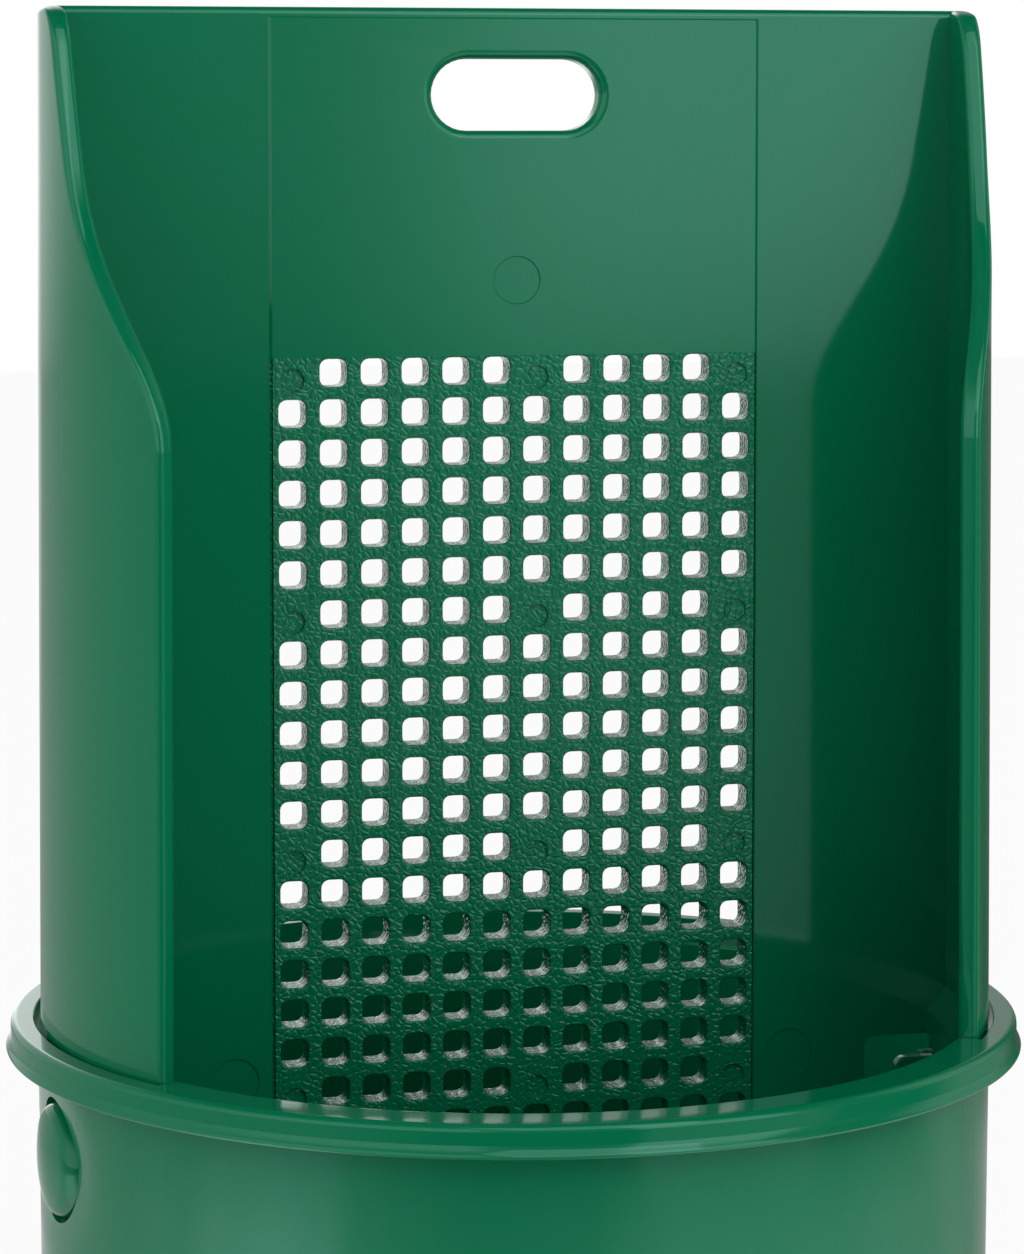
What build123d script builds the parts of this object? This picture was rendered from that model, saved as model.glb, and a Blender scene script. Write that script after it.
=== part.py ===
from build123d import *
import os
from math import acos, cos, degrees, radians, sin, sqrt

# Hanging feeding bowl for reptiles: a round cup that latches under a back shell with a
# perforated climbing panel and two curved side wings. Sizes are in millimetres. X is to the
# right, -Y is the open front and Z is up, with the origin on the cup's axis at its underside.

# Collar round the top of the cup: an outer ring with a channel that the shell stands in
rim_outer_r = 50.1
rim_flare = 0.45
rim_width = 2.3
rim_height = 3.1
channel_depth = 2.2
rim_top_round = 0.4
rim_under_round = 0.8

# Feeding cup: its wall stands in from the collar and narrows to the foot
cup_height = 60.0
collar_overhang = 2.7
cup_draft = 0.4
cup_wall = 2.0
cup_floor = 2.0
cup_base_round = 4.0
floor_round = 2.5

# Back shell: conical side wings on a flat back plate
shell_rise = 99.3
channel_play = 0.45
shell_draft = 0.5
wing_wall = 1.95
plate_front = 1.3
plate_thickness = 3.0
top_edge_round = 0.8

# Free edge of the wings: how far it reaches forward of the cup's axis, and how far under
# the shell's top it does so
wing_reach = 25.8
curve_low_drop = 41.3
curve_low_pull_drop = 31.8
curve_high_pull_drop = 25.8
curve_high_pull_reach = 13.4
curve_high_drop = 13.8
curve_high_reach = 10.2
corner_drop = 3.8
corner_reach = 6.9
corner_peak_reach = 5.6
corner_end_reach = 1.8
corner_over_top = 0.1
edge_cut_from_share = 0.7
edge_cut_to_share = 1.2

# Skirt of the shell, which plugs into the cup
skirt_depth = 30.0
skirt_wall = 1.8
step_wall = 0.95
fit_clearance = 0.3
floor_clearance = 0.6

# Raised strip down the middle of the back plate, and the hanging slot in it
strip_width = 49.6
strip_raise = 0.15
strip_top_drop = 1.2
slot_length = 17.0
slot_height = 7.0
slot_drop = 8.5
slot_edge_round = 0.9

# Climbing panel: the perforated, grained part of the strip
panel_top_drop = 34.1
hole_size = 2.7
hole_corner_r = 0.8
hole_pitch_x = 4.1
hole_pitch_z = 3.957
hole_columns = 12
first_row_drop = 1.5
last_row_margin = 0.8
plug_every = 6
plug_columns = (0, 6, 11)

# Round marks that the mould's ejector pins leave
pin_mark_depth = 0.15
pin_mark_r = 2.4
middle_pin_drop = 26.7
side_pin_inset = 21.6
side_pin_under_rim = 6.2

# Latches: a spring tab on each side with an oval button that shows through the cup's wall
latch_angle = 84.7
button_drop = 12.0
button_half_width = 6.7
button_half_height = 5.6
button_gap = 0.4
button_proud = 1.0
button_root = 0.6
button_dome_r = 18.0
button_edge_r = 1.5
tab_front_reach = 10.1
tab_top_drop = 7.4
tab_corner_r = 2.0
arm_inset = 10.1
arm_corner_r = 1.3
arm_rise = 1.15
arm_thickness = 1.2
root_gap = 0.35
window_front_reach = 14.5
window_top_drop = 6.2
window_bottom_drop = 26.0
notch_inset = 13.5
notch_over = 10.0
notch_top_drop = 5.05
notch_corner_r = 1.0

# Finger dish in the cup's wall round each button
dish_depth = 0.7
dish_half_width = 12.4
dish_cut_over = 4.0

# Heights and radii that follow from the sizes above
rim_top = cup_height
rim_under = rim_top - rim_height
seat = rim_top - channel_depth
shell_top = rim_top + shell_rise
channel_r = rim_outer_r - rim_width
cup_top_r = rim_outer_r - collar_overhang
cup_base_r = cup_top_r - cup_draft
shell_base_r = channel_r - channel_play
shell_top_r = shell_base_r - shell_draft
notch_x = rim_outer_r - notch_inset
arm_x = rim_outer_r - arm_inset
side_pin_x = rim_outer_r - side_pin_inset
plate_back = plate_thickness - plate_front
panel_bottom = cup_floor + floor_clearance
panel_top = shell_top - panel_top_drop
strip_front = plate_front + strip_raise
skirt_bottom = rim_top - skirt_depth
button_z = rim_top - button_drop
window_top = rim_top - window_top_drop
window_bottom = rim_top - window_bottom_drop
edge_angle = acos(wing_reach / shell_base_r)
edge_cut_from_x = edge_cut_from_share * shell_base_r
edge_cut_to_x = edge_cut_to_share * shell_base_r
clear_of_all = rim_outer_r + 15
cut_over = 1.0


def cup_outer(z):
    """Radius of the cup's outside at a height."""
    return cup_base_r + (cup_top_r - cup_base_r) * z / rim_under


def cup_inner(z):
    """Radius of the cup's inside at a height."""
    return cup_outer(z) - cup_wall


def skirt_outer(z):
    """Radius of the skirt's outside, clear of the cup's wall."""
    return cup_inner(z) - fit_clearance


def skirt_inner(z):
    """Radius of the skirt's inside."""
    return skirt_outer(z) - skirt_wall


def shell_outer(z):
    """Radius of the wings' outside, which narrows to the top."""
    return shell_base_r + (shell_top_r - shell_base_r) * (z - seat) / (shell_top - seat)


def shell_inner(z):
    """Radius of the wings' inside."""
    return shell_outer(z) - wing_wall


def fan(x, reach, z):
    """Point at x on the upright plane through the axis and the wing's edge at this reach."""
    return (-x * reach / sqrt(shell_base_r**2 - reach**2), z)


def is_plate_top_edge(edge):
    """Whether this is a long edge of the back plate's top."""
    return abs((edge @ 0.5).Z - shell_top) < corner_over_top and edge.length > strip_width


def is_slot_edge(edge):
    """Whether this is part of the hanging slot's mouth at the front or the back."""
    middle = edge @ 0.5
    in_slot = abs(middle.X) <= slot_length / 2 and abs(middle.Z - shell_top + slot_drop) <= slot_height / 2
    return in_slot and min(abs(middle.Y + strip_front), abs(middle.Y - plate_back)) < corner_over_top


# The cup: a turned body with its collar
with BuildPart() as feeding_cup:
    with BuildSketch(Plane.XZ) as cup_profile:
        with BuildLine():
            Polyline(
                (0, 0),
                (cup_base_r, 0),
                (cup_top_r, rim_under),
                (rim_outer_r + rim_flare, rim_under),
                (rim_outer_r, rim_top),
                (channel_r, rim_top),
                (channel_r, seat),
                (cup_inner(seat), seat),
                (cup_inner(cup_floor), cup_floor),
                (0, cup_floor),
                close=True,
            )
        make_face()
        corners = cup_profile.vertices()
        fillet(corners.sort_by_distance((cup_base_r, 0))[0], cup_base_round)
        fillet(corners.sort_by_distance((cup_inner(cup_floor), cup_floor))[0], floor_round)
        fillet(corners.sort_by_distance((rim_outer_r + rim_flare, rim_under))[0], rim_under_round)
        fillet(corners.sort_by_distance((rim_outer_r, rim_top))[0], rim_top_round)
    revolve(axis=Axis.Z)

    # Front stretch of the channel, filled between the shell's free edges
    filler_angle = edge_angle - fit_clearance / shell_base_r
    filler_x = clear_of_all * sin(filler_angle)
    filler_y = -clear_of_all * cos(filler_angle)
    with BuildSketch(Plane.XY.offset(seat)):
        Circle(channel_r)
        Circle(cup_inner(seat), mode=Mode.SUBTRACT)
        with BuildLine():
            Polyline(
                (0, 0),
                (-filler_x, filler_y),
                (0, -2 * clear_of_all),
                (filler_x, filler_y),
                close=True,
            )
        make_face(mode=Mode.INTERSECT)
    extrude(amount=channel_depth)

    # Finger dish on each side: a barrel-shaped cut, flatter round than the cup's wall
    dish_half_height = rim_under - button_z
    dish_r = 1 / (1 / cup_outer(button_z) - 2 * dish_depth / dish_half_width**2)
    for side in (-1, 1):
        outward = Vector(side * sin(radians(latch_angle)), -cos(radians(latch_angle)), 0)
        dish_centre = outward * (cup_outer(button_z) - dish_depth - dish_r) + Vector(0, 0, button_z)
        dish_plane = Plane(origin=dish_centre, x_dir=outward, z_dir=outward.cross(Vector(0, 0, 1)))
        with BuildSketch(dish_plane):
            with BuildLine():
                hollow = ThreePointArc(
                    (dish_r + dish_depth, -dish_half_height),
                    (dish_r, 0),
                    (dish_r + dish_depth, dish_half_height),
                )
                Polyline(
                    hollow @ 1,
                    (dish_r + dish_cut_over, dish_half_height),
                    (dish_r + dish_cut_over, -dish_half_height),
                    hollow @ 0,
                )
            make_face()
        revolve(axis=Axis(dish_centre, (0, 0, 1)), mode=Mode.SUBTRACT)

    # Oval button hole on each side
    for side in (-1, 1):
        outward = Vector(side * sin(radians(latch_angle)), -cos(radians(latch_angle)), 0)
        across = outward.cross(Vector(0, 0, 1))
        with BuildSketch(Plane(origin=(0, 0, button_z), x_dir=across, z_dir=outward)):
            Ellipse(button_half_width + button_gap, button_half_height + button_gap)
        extrude(amount=clear_of_all, mode=Mode.SUBTRACT)

# Space between the wings in front of the back plate, stepped in where the skirt starts
step_line = skirt_outer(seat) - seat - sqrt(2) * step_wall
step_low = skirt_inner(seat) - step_line
step_high = shell_inner(rim_top) - step_line
with BuildPart() as front_space:
    with BuildSketch(Plane.XZ):
        with BuildLine():
            Polyline(
                (0, 0),
                (skirt_inner(0), 0),
                (skirt_inner(seat), step_low),
                (shell_inner(rim_top), step_high),
                (shell_inner(shell_top), shell_top + cut_over),
                (0, shell_top + cut_over),
                close=True,
            )
        make_face()
    revolve(axis=Axis.Z)
    split(bisect_by=Plane.XZ.offset(plate_front), keep=Keep.TOP)

# Cut that leaves one wing's free edge: the same outline on two upright planes, fanned out
# from the axis so that the edge stays square to the wing's wall
with BuildPart() as right_edge_cut:
    for x in (edge_cut_from_x, edge_cut_to_x):
        with BuildSketch(Plane.YZ.offset(x)):
            with BuildLine():
                foot = fan(x, wing_reach, -cut_over)
                low = fan(x, wing_reach, shell_top - curve_low_drop)
                low_pull = fan(x, wing_reach, shell_top - curve_low_pull_drop)
                high_pull = fan(x, curve_high_pull_reach, shell_top - curve_high_pull_drop)
                high = fan(x, curve_high_reach, shell_top - curve_high_drop)
                corner = fan(x, corner_reach, shell_top - corner_drop)
                corner_pull = fan(x, corner_peak_reach, shell_top)
                corner_end = fan(x, corner_end_reach, shell_top + corner_over_top)
                Line(foot, low)
                Bezier(low, low_pull, high_pull, high)
                Line(high, corner)
                Bezier(corner, corner_pull, corner_end)
                Polyline(
                    corner_end,
                    (corner_end[0], shell_top + cut_over),
                    (-2 * clear_of_all, shell_top + cut_over),
                    (-2 * clear_of_all, -cut_over),
                    foot,
                )
            make_face()
    loft(ruled=True)

with BuildPart() as left_edge_cut:
    mirror(right_edge_cut.part, about=Plane.YZ)

# The back shell: wings, back plate and skirt in one turned envelope
with BuildPart() as back_shell:
    with BuildSketch(Plane.XZ):
        with BuildLine():
            Polyline(
                (0, panel_bottom),
                (skirt_outer(panel_bottom) - floor_round, panel_bottom),
                (skirt_outer(panel_bottom), panel_bottom + floor_round),
                (skirt_outer(seat), seat),
                (shell_base_r, seat),
                (shell_top_r, shell_top),
                (0, shell_top),
                close=True,
            )
        make_face()
    revolve(axis=Axis.Z)
    split(bisect_by=Plane.XZ.offset(-plate_back), keep=Keep.TOP)
    add(front_space.part, mode=Mode.SUBTRACT)

    # Open front between the wings' free edges
    with BuildSketch(Plane.XY.offset(-cut_over)):
        with Locations((0, -clear_of_all)):
            Rectangle(2 * edge_cut_from_x + cut_over, 2 * (clear_of_all - plate_front - skirt_wall))
    extrude(amount=shell_top + 2 * cut_over, mode=Mode.SUBTRACT)
    add(right_edge_cut.part, mode=Mode.SUBTRACT)
    add(left_edge_cut.part, mode=Mode.SUBTRACT)

    # Skirt walls end here, while the back plate goes on down to the cup's floor
    with BuildSketch(Plane.XZ.offset(plate_front)):
        with Locations((0, 0)):
            Rectangle(2 * clear_of_all, 2 * skirt_bottom)
    extrude(amount=clear_of_all, mode=Mode.SUBTRACT)

    # Latch windows in the skirt, and the notches beside them in the back plate
    for side in (-1, 1):
        with BuildSketch(Plane.XZ.offset(plate_front)):
            with Locations((side * notch_x, (window_bottom + window_top) / 2)):
                Rectangle(2 * notch_over, window_top - window_bottom)
        extrude(amount=window_front_reach - plate_front, mode=Mode.SUBTRACT)
        notch_top = rim_top - notch_top_drop
        with BuildSketch(Plane.XZ.offset(plate_front)) as notch:
            with Locations((side * (notch_x + notch_over), (window_bottom + notch_top) / 2)):
                Rectangle(2 * notch_over, notch_top - window_bottom)
            fillet(notch.vertices().sort_by_distance((side * notch_x, notch_top))[0], notch_corner_r)
        extrude(amount=-plate_thickness - cut_over, mode=Mode.SUBTRACT)

    # Window for the climbing panel, open at the bottom edge
    with BuildSketch(Plane.XZ.offset(clear_of_all)):
        Rectangle(strip_width, 2 * panel_top)
    extrude(amount=-2 * clear_of_all, mode=Mode.SUBTRACT)

    # Smooth upper part of the raised strip
    with BuildSketch(Plane.XZ.offset(plate_front)):
        with Locations((0, panel_top)):
            Rectangle(
                strip_width,
                shell_top - strip_top_drop - panel_top,
                align=(Align.CENTER, Align.MIN),
            )
    extrude(amount=strip_raise)

    # Hanging slot
    with BuildSketch(Plane.XZ.offset(strip_front)):
        with Locations((0, shell_top - slot_drop)):
            SlotOverall(slot_length, slot_height)
    extrude(amount=-plate_thickness - strip_raise - cut_over, mode=Mode.SUBTRACT)

    # Rounded edges of the back plate's top and of the slot
    fillet(back_shell.edges().filter_by(is_plate_top_edge), top_edge_round)
    fillet(back_shell.edges().filter_by(is_slot_edge), slot_edge_round)

    # Ejector pin marks
    with BuildSketch(Plane.XZ.offset(strip_front)):
        with Locations((0, shell_top - middle_pin_drop)):
            Circle(pin_mark_r)
    extrude(amount=-pin_mark_depth, mode=Mode.SUBTRACT)
    with BuildSketch(Plane.XZ.offset(plate_front)):
        side_pin_z = rim_top - side_pin_under_rim
        with Locations((-side_pin_x, side_pin_z), (side_pin_x, side_pin_z)):
            Circle(pin_mark_r)
    extrude(amount=-pin_mark_depth, mode=Mode.SUBTRACT)

# The climbing panel: a plate in the shell's window, with rows of rounded square holes
first_row = panel_top - first_row_drop
lowest_hole = panel_bottom + last_row_margin + hole_size / 2
hole_rows = int((first_row - lowest_hole) / hole_pitch_z) + 1
hole_points = []
for row in range(hole_rows):
    for column in range(hole_columns):
        x = (column - (hole_columns - 1) / 2) * hole_pitch_x
        z = first_row - row * hole_pitch_z
        if row % plug_every or column not in plug_columns:
            hole_points.append((x, z))

panel_plane = Plane.XZ.offset(strip_front)
panel_middle = Pos(0, (panel_top + panel_bottom) / 2)
panel_outline = (panel_plane * panel_middle * Rectangle(strip_width, panel_top - panel_bottom)).wire()
hole_outline = (panel_plane * RectangleRounded(hole_size, hole_size, hole_corner_r)).wire()
hole_outlines = [hole_outline.moved(Location((x, 0, z))) for x, z in hole_points]

with BuildPart() as climbing_panel:
    add(
        Solid.extrude(Face(panel_outline, hole_outlines), Vector(0, plate_thickness + strip_raise, 0)),
        clean=False,
    )

# Spring tab of the right latch: a free corner piece of the skirt and the back plate, rooted
# at the window's foot
tab_bottom = window_bottom + root_gap
tab_top = rim_top - tab_top_drop
outward = Vector(sin(radians(latch_angle)), -cos(radians(latch_angle)), 0)
forward = outward.cross(Vector(0, 0, 1))
button_plane = Plane(origin=(0, 0, button_z), x_dir=forward, z_dir=outward)
button_foot = skirt_inner(button_z) + button_root
button_peak = cup_outer(button_z) + button_proud

with BuildPart() as button:
    with BuildSketch(button_plane.offset(button_foot)):
        Ellipse(button_half_width, button_half_height)
    extrude(amount=button_peak - button_foot + cut_over)
    with Locations(outward * (button_peak - button_dome_r) + Vector(0, 0, button_z)):
        Sphere(button_dome_r, mode=Mode.INTERSECT)
    button_face = button.faces().sort_by(Axis((0, 0, button_z), outward))[-1]
    fillet(button_face.edges(), button_edge_r)

with BuildPart() as right_latch:
    with BuildSketch(Plane.XZ):
        with BuildLine():
            Polyline(
                (skirt_inner(tab_bottom), tab_bottom),
                (skirt_outer(tab_bottom), tab_bottom),
                (skirt_outer(tab_top), tab_top),
                (skirt_inner(tab_top), tab_top),
                close=True,
            )
        make_face()
    revolve(axis=Axis.Z)
    with BuildSketch(Plane.XY.offset(tab_bottom)):
        with Locations((0, -tab_front_reach)):
            Rectangle(clear_of_all, tab_front_reach + plate_back, align=(Align.MIN, Align.MIN))
    extrude(amount=tab_top - tab_bottom, mode=Mode.INTERSECT)
    tab_top_edges = right_latch.edges().filter_by(Axis.X).group_by(Axis.Z)[-1]
    fillet(tab_top_edges.sort_by(Axis.Y)[0], tab_corner_r)

    # Arm of the tab in the plane of the back plate
    with BuildSketch(Plane.XZ.offset(plate_front)) as arm:
        with BuildLine():
            Polyline(
                (arm_x, tab_bottom + arm_rise),
                (skirt_inner(tab_bottom) + skirt_wall / 2, tab_bottom + arm_rise),
                (skirt_inner(tab_top) + skirt_wall / 2, tab_top),
                (arm_x, tab_top),
                close=True,
            )
        make_face()
        fillet(arm.vertices().sort_by_distance((arm_x, tab_top))[0], arm_corner_r)
    extrude(amount=-arm_thickness)
    add(button.part)

with BuildPart() as left_latch:
    mirror(right_latch.part, about=Plane.YZ)

back_shell.part.label = "back_shell"
climbing_panel.part.label = "climbing_panel"
feeding_cup.part.label = "feeding_cup"
left_latch.part.label = "left_latch"
right_latch.part.label = "right_latch"

os.makedirs("parts", exist_ok=True)
export_step(back_shell.part, "parts/back_shell.step")
export_step(climbing_panel.part, "parts/climbing_panel.step")
export_step(feeding_cup.part, "parts/feeding_cup.step")
export_step(left_latch.part, "parts/left_latch.step")
export_step(right_latch.part, "parts/right_latch.step")
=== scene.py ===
import math

import bmesh
import bpy
from mathutils import Euler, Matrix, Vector


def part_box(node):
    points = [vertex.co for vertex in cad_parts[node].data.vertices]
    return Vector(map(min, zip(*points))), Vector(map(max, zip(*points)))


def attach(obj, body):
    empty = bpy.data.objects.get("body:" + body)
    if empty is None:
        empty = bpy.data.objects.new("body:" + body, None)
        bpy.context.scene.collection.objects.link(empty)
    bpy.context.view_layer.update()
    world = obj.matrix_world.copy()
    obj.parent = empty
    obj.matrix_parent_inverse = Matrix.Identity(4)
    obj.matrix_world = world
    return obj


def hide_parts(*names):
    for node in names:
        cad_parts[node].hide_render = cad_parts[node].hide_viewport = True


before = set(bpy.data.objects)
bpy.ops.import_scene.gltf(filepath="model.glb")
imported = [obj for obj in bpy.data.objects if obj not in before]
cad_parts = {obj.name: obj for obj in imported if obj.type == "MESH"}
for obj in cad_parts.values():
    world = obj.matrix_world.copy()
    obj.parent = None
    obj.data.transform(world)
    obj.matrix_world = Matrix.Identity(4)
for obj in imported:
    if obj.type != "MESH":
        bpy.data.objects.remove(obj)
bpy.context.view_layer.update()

# Sizes in metres. X is right, -Y is the open front, Z is up from the cup's underside.
RIM_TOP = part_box("feeding_cup")[1].z
SHELL_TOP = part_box("back_shell")[1].z
PANEL_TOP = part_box("climbing_panel")[1].z
PANEL_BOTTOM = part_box("climbing_panel")[0].z
TOUCH = 1e-6
UP = Vector((0, 0, 1))

# Cup, with the collar round its top and the channel that the shell stands in
RIM_R = 0.0501
RIM_FLARE = 0.00045
RIM_HEIGHT = 0.0031
RIM_ROUND = 0.0007
RIM_FOOT_ROUND = 0.00035
CHANNEL_R = 0.0478
CHANNEL_DEPTH = 0.0022
CUP_TOP_R = 0.0474
CUP_BASE_R = 0.0470
CUP_WALL = 0.002
CUP_FLOOR = 0.002
CUP_FOOT_ROUND = 0.004
CUP_FLOOR_ROUND = 0.0025
CUP_MIDDLE_R = 0.03
SEAT = RIM_TOP - CHANNEL_DEPTH
FIT = 0.0003

# Back shell: wings, back plate, raised strip, skirt and hanging slot
SHELL_BASE_R = 0.04735
SHELL_TOP_R = 0.04685
WING_WALL = 0.00195
PLATE_FRONT = -0.0013
PLATE_BACK = 0.0017
STRIP_HALF = 0.0248
STRIP_FRONT = -0.00145
STRIP_TOP = SHELL_TOP - 0.00095
STRIP_TOP_BEVEL = 0.00015
STRIP_SIDE_BEVEL = 0.0003
SKIRT_BOTTOM = RIM_TOP - 0.030
SKIRT_WALL = 0.0018
SKIRT_CORNER = 0.0025
SHOULDER = 0.0005
EDGE_REACH = 0.0258
TOP_ROUND = 0.0008
EDGE_ROUND = 0.00065
SLOT_LENGTH = 0.017
SLOT_HEIGHT = 0.007
SLOT_Z = SHELL_TOP - 0.0085
SLOT_ROUND = 0.0009
SIDE_PIN_X = 0.0285
SIDE_PIN_Z = RIM_TOP - 0.0062
PIN_R = 0.0024
PIN_Z = SHELL_TOP - 0.0267
PIN_DEPTH = 0.00012

# Buttons, finger dishes, latches and the room left free for them
BUTTON_Z = RIM_TOP - 0.012
BUTTON_ANGLE = math.radians(84.7)
BUTTON_HALF_W = 0.0067
BUTTON_HALF_H = 0.0056
BUTTON_GAP = 0.0004
BUTTON_PROUD = 0.001
BUTTON_DOME_R = 0.018
BUTTON_EDGE_R = 0.0015
DISH_DEPTH = 0.0007
DISH_HALF_W = 0.0124
TAB_BOTTOM = RIM_TOP - 0.02565
TAB_TOP = RIM_TOP - 0.0074
TAB_FRONT = -0.0101
TAB_CORNER = 0.002
NOTCH_X = 0.0366
NOTCH_TOP = RIM_TOP - 0.00505
NOTCH_CORNER = 0.001
WINDOW_BOTTOM = RIM_TOP - 0.026
WINDOW_TOP = RIM_TOP - 0.0062
WINDOW_X = (0.0400, 0.0500)
WINDOW_FRONT = -0.0145
ARM_X = 0.040
ARM_THICKNESS = 0.0012
ARM_CORNER = 0.0013
ARM_EDGE = 0.0002
ARM_RISE = 0.00115

# Climbing panel: its holes, and the blank cells that have a small pin mark instead
SMALL_PIN_R = 0.0012
SMALL_PIN_DEPTH = 0.0003
SMALL_PIN_DROP = 0.0007
HOLE = 0.0027
HOLE_CORNER = 0.0008
PITCH_X = 0.0041
PITCH_Z = 0.003957
COLUMNS = 12
FIRST_ROW = PANEL_TOP - 0.0015
LAST_ROW_MARGIN = 0.0008
BLANK_EVERY = 6
BLANK_COLUMNS = (0, 6, 11)


def deselect_all():
    """Leaves nothing selected."""
    for item in bpy.context.selected_objects:
        item.select_set(False)
    bpy.context.view_layer.objects.active = None


def new_piece(name, mesh_data):
    """A new object at the origin that holds this bmesh."""
    mesh = bpy.data.meshes.new(name)
    mesh_data.to_mesh(mesh)
    mesh_data.free()
    piece = bpy.data.objects.new(name, mesh)
    bpy.context.scene.collection.objects.link(piece)
    return piece


def make_active(piece):
    """Selects this piece alone."""
    deselect_all()
    piece.select_set(True)
    bpy.context.view_layer.objects.active = piece


def apply_all(piece):
    """Applies every modifier of a piece, in order."""
    make_active(piece)
    for modifier in list(piece.modifiers):
        bpy.ops.object.modifier_apply(modifier=modifier.name)


def loft(shape, rings, closed=True):
    """Adds quads between neighbouring rings of points, and returns the rings' vertices."""
    rows = [[shape.verts.new(point) for point in ring] for ring in rings]
    count = len(rings[0])
    last = count if closed else count - 1
    for low, high in zip(rows, rows[1:]):
        for i in range(last):
            j = (i + 1) % count
            shape.faces.new((low[i], low[j], high[j], high[i]))
    return rows


def arc(centre, radius, start, end, steps):
    """Points (x, y) along an arc, angles in radians."""
    return [
        (
            centre[0] + radius * math.cos(start + (end - start) * i / steps),
            centre[1] + radius * math.sin(start + (end - start) * i / steps),
        )
        for i in range(steps + 1)
    ]


def spread(start, end, steps):
    """Evenly spaced values from start to end."""
    return [start + (end - start) * i / steps for i in range(steps + 1)]


def weighted_smooth(piece, angle=40):
    """Smooth shading that keeps flat faces flat beside their rounded edges."""
    make_active(piece)
    bpy.ops.object.shade_smooth_by_angle(angle=math.radians(angle), keep_sharp_edges=True)
    modifier = piece.modifiers.new("flat_faces", "WEIGHTED_NORMAL")
    modifier.keep_sharp = True
    modifier.weight = 100
    apply_all(piece)


# Radii by height


def shell_outer(z):
    """Outside of the wings."""
    return SHELL_BASE_R + (SHELL_TOP_R - SHELL_BASE_R) * (z - SEAT) / (SHELL_TOP - SEAT)


def cup_outer(z):
    """Outside of the cup."""
    return CUP_BASE_R + (CUP_TOP_R - CUP_BASE_R) * z / (RIM_TOP - RIM_HEIGHT)


def cup_inner(z):
    """Inside of the cup."""
    return cup_outer(z) - CUP_WALL


def skirt_outer(z):
    """Outside of the shell's skirt, a loose fit in the cup."""
    return cup_inner(z) - FIT


# The back shell


def bezier(points, t):
    """Point on a Bezier curve of any degree."""
    points = [Vector(p) for p in points]
    while len(points) > 1:
        points = [a.lerp(b, t) for a, b in zip(points, points[1:])]
    return points[0]


def wing_edge_points():
    """(reach, height) along a wing's free edge from the channel up to the back plate's top."""
    low = SHELL_TOP - 0.0413
    s_curve = (
        (EDGE_REACH, low),
        (EDGE_REACH, SHELL_TOP - 0.0318),
        (0.0134, SHELL_TOP - 0.0258),
        (0.0102, SHELL_TOP - 0.0138),
    )
    corner = ((0.0069, SHELL_TOP - 0.0038), (0.0056, SHELL_TOP), (0.0018, SHELL_TOP))
    points = [(EDGE_REACH, z) for z in spread(RIM_TOP + 0.002, low, 28)[:-1]]
    points += [tuple(bezier(s_curve, t)) for t in spread(0, 1, 48)]
    points += [tuple(bezier((s_curve[3], corner[0]), t)) for t in spread(0, 1, 6)[1:]]
    points += [tuple(bezier(corner, t)) for t in spread(0, 1, 20)[1:]]
    return points


def half_outline(z, reach, outer, inner, inset=0.0):
    """Right half of the shell's plan outline, from the strip's back edge round to its front edge."""
    outer -= inset
    inner += inset
    back = PLATE_BACK - inset
    front = PLATE_FRONT + inset
    back_angle = math.asin(back / outer)
    edge_angle = -math.asin(reach / SHELL_BASE_R) + inset / outer
    root_angle = math.asin(front / inner)
    room = (root_angle - edge_angle) * inner
    corner = max(min(EDGE_ROUND, 0.45 * (outer - inner), 0.7 * room), 0.00002)
    points = [(x, back) for x in spread(STRIP_HALF, outer * math.cos(back_angle) - 0.0004, 6)]
    points += arc((0, 0), outer, back_angle - 0.006, edge_angle + corner / outer, 22)
    mid = edge_angle + corner / outer
    centre = ((outer - corner) * math.cos(mid), (outer - corner) * math.sin(mid))
    points += arc(centre, corner, mid, mid - math.pi / 2, 5)[1:]
    mid = edge_angle + corner / inner
    centre = ((inner + corner) * math.cos(mid), (inner + corner) * math.sin(mid))
    points += arc(centre, corner, mid - math.pi / 2, mid - math.pi, 5)
    points += arc((0, 0), inner, mid, root_angle, 22)[1:]
    x_root = inner * math.cos(root_angle)
    points += [(x, front) for x in spread(x_root, STRIP_HALF, 8)[1:]]
    return [Vector((x, y, z)) for x, y in points]


def reach_at(z, curve):
    """How far forward the wing's edge reaches at a height."""
    for (reach_a, z_a), (reach_b, z_b) in zip(curve, curve[1:]):
        if z_a <= z <= z_b and z_b > z_a:
            return reach_a + (reach_b - reach_a) * (z - z_a) / (z_b - z_a)
    return curve[0][0] if z < curve[0][1] else curve[-1][0]


def top_inset(z):
    """How far the walls draw in towards the rounded top edge."""
    over = z - (SHELL_TOP - TOP_ROUND)
    return TOP_ROUND - math.sqrt(max(TOP_ROUND**2 - over**2, 0)) if over > 0 else 0.0


def slot_ring(offset, y, steps=16):
    """The hanging slot's outline, grown by offset, at depth y."""
    radius = SLOT_HEIGHT / 2 + offset
    half = (SLOT_LENGTH - SLOT_HEIGHT) / 2
    right = arc((half, SLOT_Z), radius, -math.pi / 2, math.pi / 2, steps)
    left = arc((-half, SLOT_Z), radius, math.pi / 2, 3 * math.pi / 2, steps)
    return [Vector((x, y, z)) for x, z in right + left]


def disc_ring(x, z, radius, y, steps=24):
    """A circle's outline facing the front."""
    points = arc((x, z), radius, 0, 2 * math.pi, steps)[:-1]
    return [Vector((px, y, pz)) for px, pz in points]


def fill_flat(shape, outline, holes):
    """Fills a flat outline, leaving the holes open. All are lists of vertices in order."""
    edges = []
    for loop in [outline] + holes:
        for a, b in zip(loop, loop[1:] + loop[:1]):
            edges.append(shape.edges.get((a, b)) or shape.edges.new((a, b)))
    bmesh.ops.triangle_fill(shape, use_beauty=True, use_dissolve=False, edges=edges)


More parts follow.
